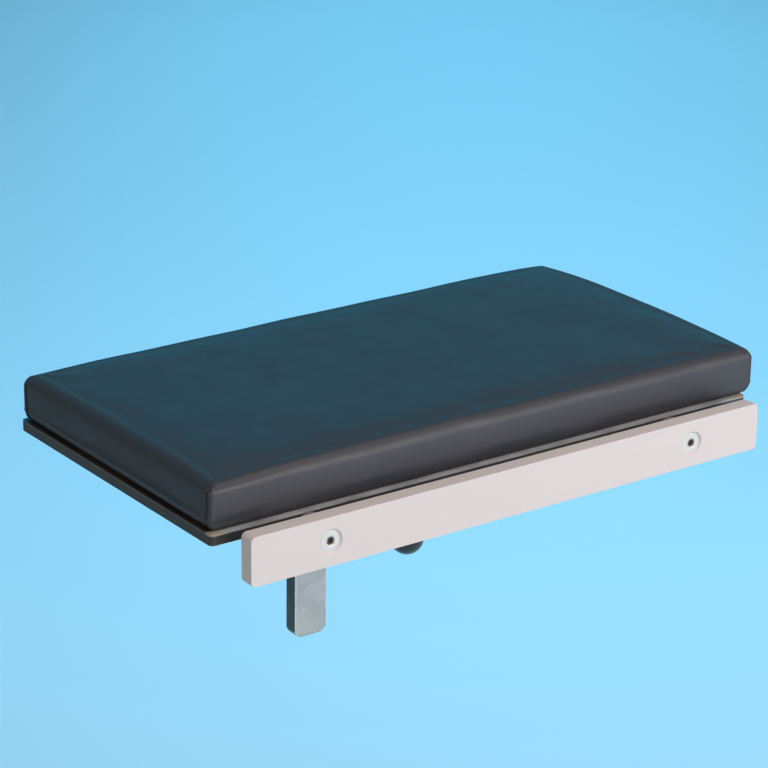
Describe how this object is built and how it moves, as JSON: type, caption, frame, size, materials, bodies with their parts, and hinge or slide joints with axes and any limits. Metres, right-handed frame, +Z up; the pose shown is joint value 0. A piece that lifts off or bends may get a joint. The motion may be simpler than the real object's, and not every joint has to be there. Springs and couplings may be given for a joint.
{
  "type": "table side extension with padded cushion",
  "caption": "Padded rectangular side extension that clamps to a treatment table's side rail and carries its own accessory rail.",
  "frame": {"origin": "middle of the clamp seat's face, which meets the outer face of the table's side rail at the rail's mid-height", "axes": "+X along the rail, to the right as seen from the extension's own rail; +Y into the table; +Z up"},
  "size_m": [0.3817, 0.2254, 0.1163],
  "materials": {
    "rail": "fine satin, slightly warm light grey",
    "bright_steel": "bright turned steel",
    "zinc_bar": "dull zinc plate",
    "board": "dark phenolic laminate, worn pale along its top edge",
    "clamp_steel": "machined steel",
    "bronze": "sintered bearing bronze",
    "wear_pad": "natural nylon",
    "knob": "polished black phenolic",
    "strip": "hook-and-loop tape",
    "vinyl": "black upholstery vinyl with a soft sheen and a fine grain",
    "foam": "polyurethane foam",
    "stiffener": "plain hardboard"
  },
  "bodies": {
    "frame": {"side_rail": "rail", "base_board": "board", "drop_leg": "zinc_bar", "end_plate_right": "zinc_bar", "clamp_body": "clamp_steel", "clamp_seat": "wear_pad", "clamp_bush_lower": "bronze", "clamp_bush_upper": "bronze", "clamp_spring": "bright_steel", "hook_strip_front": "strip", "hook_strip_back": "strip", "rail_spacer_left": "zinc_bar", "rail_screw_left": "bright_steel", "arm_left": "zinc_bar", "hook_left": "clamp_steel", "hook_screw_left": "bright_steel", "bearing_left": "clamp_steel", "bearing_screw_left": "bright_steel", "bearing_pad_left": "wear_pad", "arm_screw_left_1": "bright_steel", "arm_screw_left_2": "bright_steel", "arm_screw_left_3": "bright_steel", "clamp_screw_left_1": "bright_steel", "clamp_screw_left_2": "bright_steel", "rail_spacer_right": "zinc_bar", "rail_screw_right": "bright_steel", "arm_right": "zinc_bar", "hook_right": "clamp_steel", "hook_screw_right": "bright_steel", "bearing_right": "clamp_steel", "bearing_screw_right": "bright_steel", "bearing_pad_right": "wear_pad", "arm_screw_right_1": "bright_steel", "arm_screw_right_2": "bright_steel", "arm_screw_right_3": "bright_steel", "clamp_screw_right_1": "bright_steel", "clamp_screw_right_2": "bright_steel"},
    "clamp_lever": {"clamp_shaft": "bright_steel", "spring_washer": "zinc_bar", "shaft_nut": "zinc_bar", "swing_toe": "clamp_steel", "lever_hub": "clamp_steel", "hub_pin": "bright_steel", "lever_rod": "bright_steel", "ball_knob": "knob"},
    "cushion": {"cushion_cover": "vinyl", "cushion_foam": "foam", "cushion_stiffener": "stiffener", "loop_strip_front": "strip", "loop_strip_back": "strip"}
  },
  "joints": [
    {"name": "lever_turn", "type": "hinge", "parent": "frame", "child": "clamp_lever", "pos_m": [0, -0.015, -0.0185], "axis": [0, 0, 1], "range_deg": [0, 90]},
    {"name": "cushion_lift", "type": "slide", "parent": "frame", "child": "cushion", "axis": [0, 0, 1], "range_m": [0, 0.05]}
  ]
}
